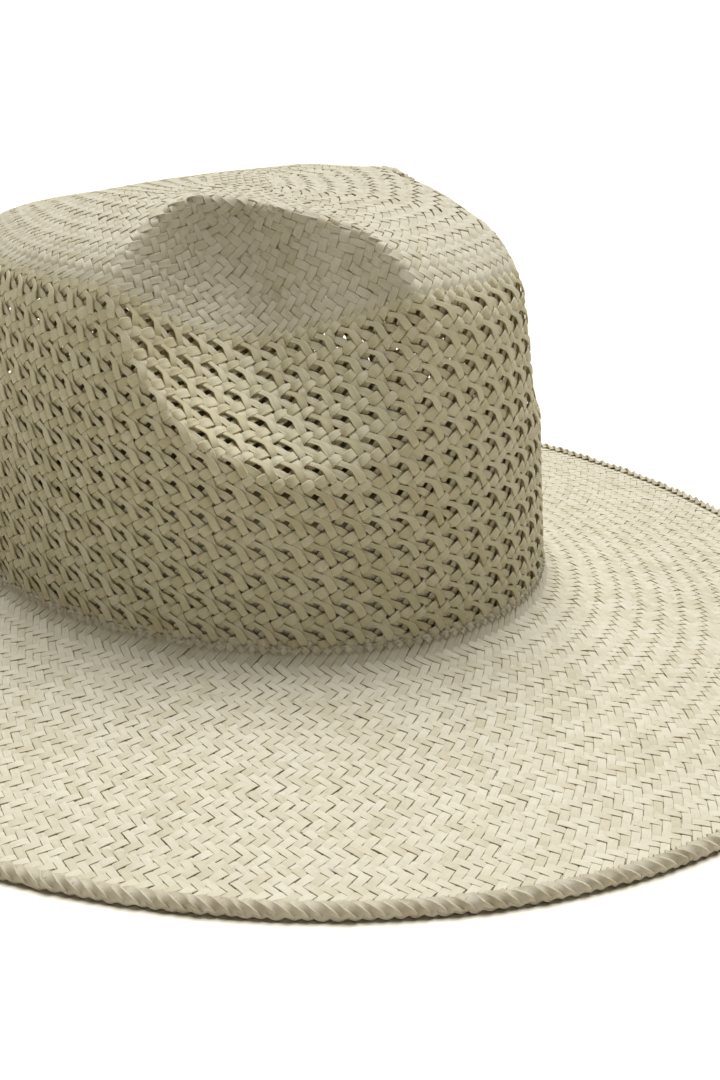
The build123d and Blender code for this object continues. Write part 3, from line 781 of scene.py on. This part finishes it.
def slab(name, P, N, T, mat, uv):
    """A grid of points thickened along N by T, closed round its border."""
    a, b = P.shape[:2]
    V = np.concatenate([(P + N * T[..., None] / 2).reshape(-1, 3), (P - N * T[..., None] / 2).reshape(-1, 3)])
    q = lambda i, j: i * b + j
    F = []
    for i in range(a - 1):
        for j in range(b - 1):
            F.append((q(i, j), q(i + 1, j), q(i + 1, j + 1), q(i, j + 1)))
            F.append(tuple(a * b + k for k in (q(i, j), q(i, j + 1), q(i + 1, j + 1), q(i + 1, j))))
    rim = [q(0, j) for j in range(b)] + [q(i, b - 1) for i in range(1, a)] + [q(a - 1, j) for j in range(b - 2, -1, -1)] \
        + [q(i, 0) for i in range(a - 2, 0, -1)]
    for k in range(len(rim)):
        m, n = rim[k], rim[(k + 1) % len(rim)]
        F.append((m, n, a * b + n, a * b + m))
    return mesh_from(name, V, F, mat, uv=np.concatenate([uv.reshape(-1, 3)] * 2))


# tape over the splice, at the wearer's left, running flat from the band's lower edge to its upper one
tz, tt = np.linspace(13.4, 45.0, 66), np.linspace(-0.5, 0.5, 27)
Z, W = np.meshgrid(tz, tt, indexing="ij")
turn_mm = 1 / ring_len
T0 = 0.25 + W * 12.0 * turn_mm
edge = smooth(0.5 - np.abs(W), 0, 0.08)
D = 0.94 + 0.16 * edge + 0.06 * np.sin(Z * 0.55 + 1) * edge
Pt = band_at(T0, Z, D)
Nt = band_in(T0)
tape = slab("sweatband_splice_tape", Pt, Nt, 0.30 + 0 * Z, tape_cloth, np.stack([W * 12, Z, 0 * Z], -1))


def tubes(paths, radius, name, mat):
    """Round threads through the given points, in mm."""
    s = Straws(ROUND)
    for p in paths:
        p = np.asarray(p)[None]
        tan = np.gradient(p, axis=1)
        ref = np.broadcast_to(np.array([0.31, 0.22, 0.93]), p.shape)
        n = np.cross(tan, np.cross(ref, tan))
        n /= np.linalg.norm(n, axis=-1, keepdims=True) + 1e-9
        r = np.full(p.shape[:2], 2 * radius)
        s.add(p, n, r, r)
    return s.build(name, mat)


# stitches: each a thread that rises from the band, lies over it and goes back in
paths = []
for kk in range(72):
    t0 = (kk + 0.5) / 72
    u = np.linspace(-1, 1, 11)
    lift = 0.30 * np.sqrt(np.clip(1 - u ** 4, 0, 1)) - 0.06
    tt = t0 + u * 1.75 * turn_mm
    zz = 16.2 + 0.22 * u + rng.normal(0, 0.06)
    paths.append(band_at(tt, zz, 0.84) + band_in(tt) * lift[:, None])
stitches = tubes(paths, 0.24, "sweatband_stitches", thread_mat)

# label: a strip of satin folded over its thread and sewn down, hanging free
HY, HZ = 95.58, 41.2
aa = np.radians(np.linspace(-70, 250, 26))
loop = [(0.72 * math.cos(a), HZ + 0.72 * math.sin(a)) for a in aa]
tail = [(-0.42, z) for z in np.linspace(HZ - 1.3, HZ - 4.4, 7)]
front = [(0.30 + 0 * z, z) for z in np.linspace(14.6, HZ - 1.3, 40)]
line = np.array(front + loop + tail)
seg = np.concatenate([[0], np.cumsum(np.hypot(*np.diff(line, axis=0).T))])
LX = np.linspace(-12, 12, 33)
G = np.zeros((len(line), len(LX), 3))
G[..., 0] = LX[None]
hang = smooth((HZ - line[:, 1]) / 26.0, 0, 1)[:, None]
G[..., 1] = HY - line[:, 0][:, None] + hang * (0.30 * np.sin(LX / 4.2 + 0.6)[None] + 0.18 * np.sin(line[:, 1] / 3.4)[:, None])
G[..., 2] = line[:, 1][:, None] + 0.12 * np.sin(LX / 5.0)[None] * hang
d0, d1 = np.gradient(G, axis=0), np.gradient(G, axis=1)
NN = np.cross(d0, d1)
NN /= np.linalg.norm(NN, axis=-1, keepdims=True)
label = slab("size_label_satin", G, NN, np.full(G.shape[:2], 0.22), label_cloth,
             np.stack([np.broadcast_to(LX, G.shape[:2]), np.broadcast_to(seg[:, None], G.shape[:2]), 0 * G[..., 0]], -1))

# the label's thread: two plies twisted together, its ends turned back into the band
corner = np.array([(-13.4, 97.0, HZ), (-13.4, 96.3, HZ), (-13.15, 95.75, HZ), (-12.6, HY, HZ), (12.6, HY, HZ), (13.15, 95.75, HZ), (13.4, 96.3, HZ),
                   (13.4, 97.0, HZ)])
cl = np.concatenate([[0], np.cumsum(np.linalg.norm(np.diff(corner, axis=0), axis=1))])
u = np.linspace(0, cl[-1], 220)
mid = np.stack([np.interp(u, cl, corner[:, k]) for k in range(3)], -1)
paths = []
for ph in (0, np.pi):
    a = u * 2 * np.pi / 1.9 + ph
    tan = np.gradient(mid, axis=0)
    tan /= np.linalg.norm(tan, axis=1)[:, None]
    n1 = np.cross(tan, np.array([0, 0, 1.0]))
    paths.append(mid + 0.15 * (np.cos(a)[:, None] * n1 + np.sin(a)[:, None] * np.array([0, 0, 1.0])))
thread = tubes(paths, 0.17, "label_thread_plies", thread_mat)

for ob, cad, sl, body in ((sweat, "sweatband", "band_cloth", "hat"), (tape, "sweatband_splice", "tape", "hat"),
                          (stitches, "sweatband_stitching", "thread", "hat"), (label, "size_label", "label_cloth", "label"),
                          (thread, "label_thread", "thread", "hat")):
    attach(ob, body)
    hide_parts(cad)

for cad, mat in (("brim_wire", metal_material("wire_steel", (0.62, 0.62, 0.63), 0.34, (1, 1, 1))),
                 ("wire_ferrule", metal_material("ferrule_brass", (0.83, 0.62, 0.28), 0.30, (0.15, 1, 1)))):
    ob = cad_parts[cad]
    ob = ob if hasattr(ob, "data") else bpy.data.objects[cad]
    if not ob.material_slots:
        ob.data.materials.append(mat)
    for sl in ob.material_slots:
        sl.material = mat

# ------------------------------------------------------------------ floor, light, camera
def stage_material():
    mat = bpy.data.materials.new("stage_white")
    nt, b = nodes_of(mat)
    n = node(nt, "ShaderNodeTexNoise", Scale=3.0)
    r = nt.nodes.new("ShaderNodeValToRGB")
    r.color_ramp.elements[0].color, r.color_ramp.elements[1].color = (0.93, 0.885, 0.775, 1), (0.95, 0.905, 0.795, 1)
    nt.links.new(n.outputs[0], r.inputs[0])
    nt.links.new(r.outputs[0], b.inputs["Base Color"])
    b.inputs["Roughness"].default_value = 0.9
    return mat


bpy.ops.mesh.primitive_plane_add(size=120, location=(0, 0, -0.0002))
floor = bpy.context.object
floor.name = "floor"
floor.data.materials.append(stage_material())

cam_data = bpy.data.cameras.new("camera")
cam = bpy.data.objects.new("camera", cam_data)
bpy.context.scene.collection.objects.link(cam)
bpy.context.scene.camera = cam
cam_data.sensor_width = 36
cam_data.lens = 36 * 1400 / 1080
cam_data.shift_x = (360 - 249) / 1080
cam_data.shift_y = (573 - 540) / 1080
el, az, dist = math.radians(23.8), math.radians(-45), 0.452
back = Vector((math.sin(az) * math.cos(el), -math.cos(az) * math.cos(el), math.sin(el)))
cam.location = back * dist
cam.rotation_mode = "QUATERNION"
cam.rotation_quaternion = (-back).to_track_quat("-Z", "Y")
cam_data.clip_start, cam_data.clip_end = 0.01, 50


SUN, SKY = 4.55, 0.05


def area(name, loc, target, size, power, color=(1, 1, 1)):
    d = bpy.data.lights.new(name, "AREA")
    d.shape, d.size, d.energy, d.color = "SQUARE", size, power, color
    o = bpy.data.objects.new(name, d)
    o.location = loc
    o.rotation_mode = "QUATERNION"
    o.rotation_quaternion = (Vector(target) - Vector(loc)).to_track_quat("-Z", "Y")
    bpy.context.scene.collection.objects.link(o)
    return o


# one broad light from above and a little behind the hat, as the camera sees it
sun_data = bpy.data.lights.new("sky_panel", "SUN")
sun_data.energy, sun_data.angle, sun_data.color = SUN, math.radians(44), (1, 1, 1)
sun = bpy.data.objects.new("sky_panel", sun_data)
s_el, s_az = math.radians(74), math.radians(122)
sun_dir = Vector((math.sin(s_az) * math.cos(s_el), -math.cos(s_az) * math.cos(s_el), math.sin(s_el)))
sun.rotation_mode = "QUATERNION"
sun.rotation_quaternion = sun_dir.to_track_quat("Z", "Y")
bpy.context.scene.collection.objects.link(sun)
world = bpy.data.worlds.new("world")
bpy.context.scene.world = world
world.use_nodes = True
world.node_tree.nodes["Background"].inputs[0].default_value = (1, 0.93, 0.78, 1)
world.node_tree.nodes["Background"].inputs[1].default_value = SKY
bpy.context.scene.view_settings.view_transform = "Standard"
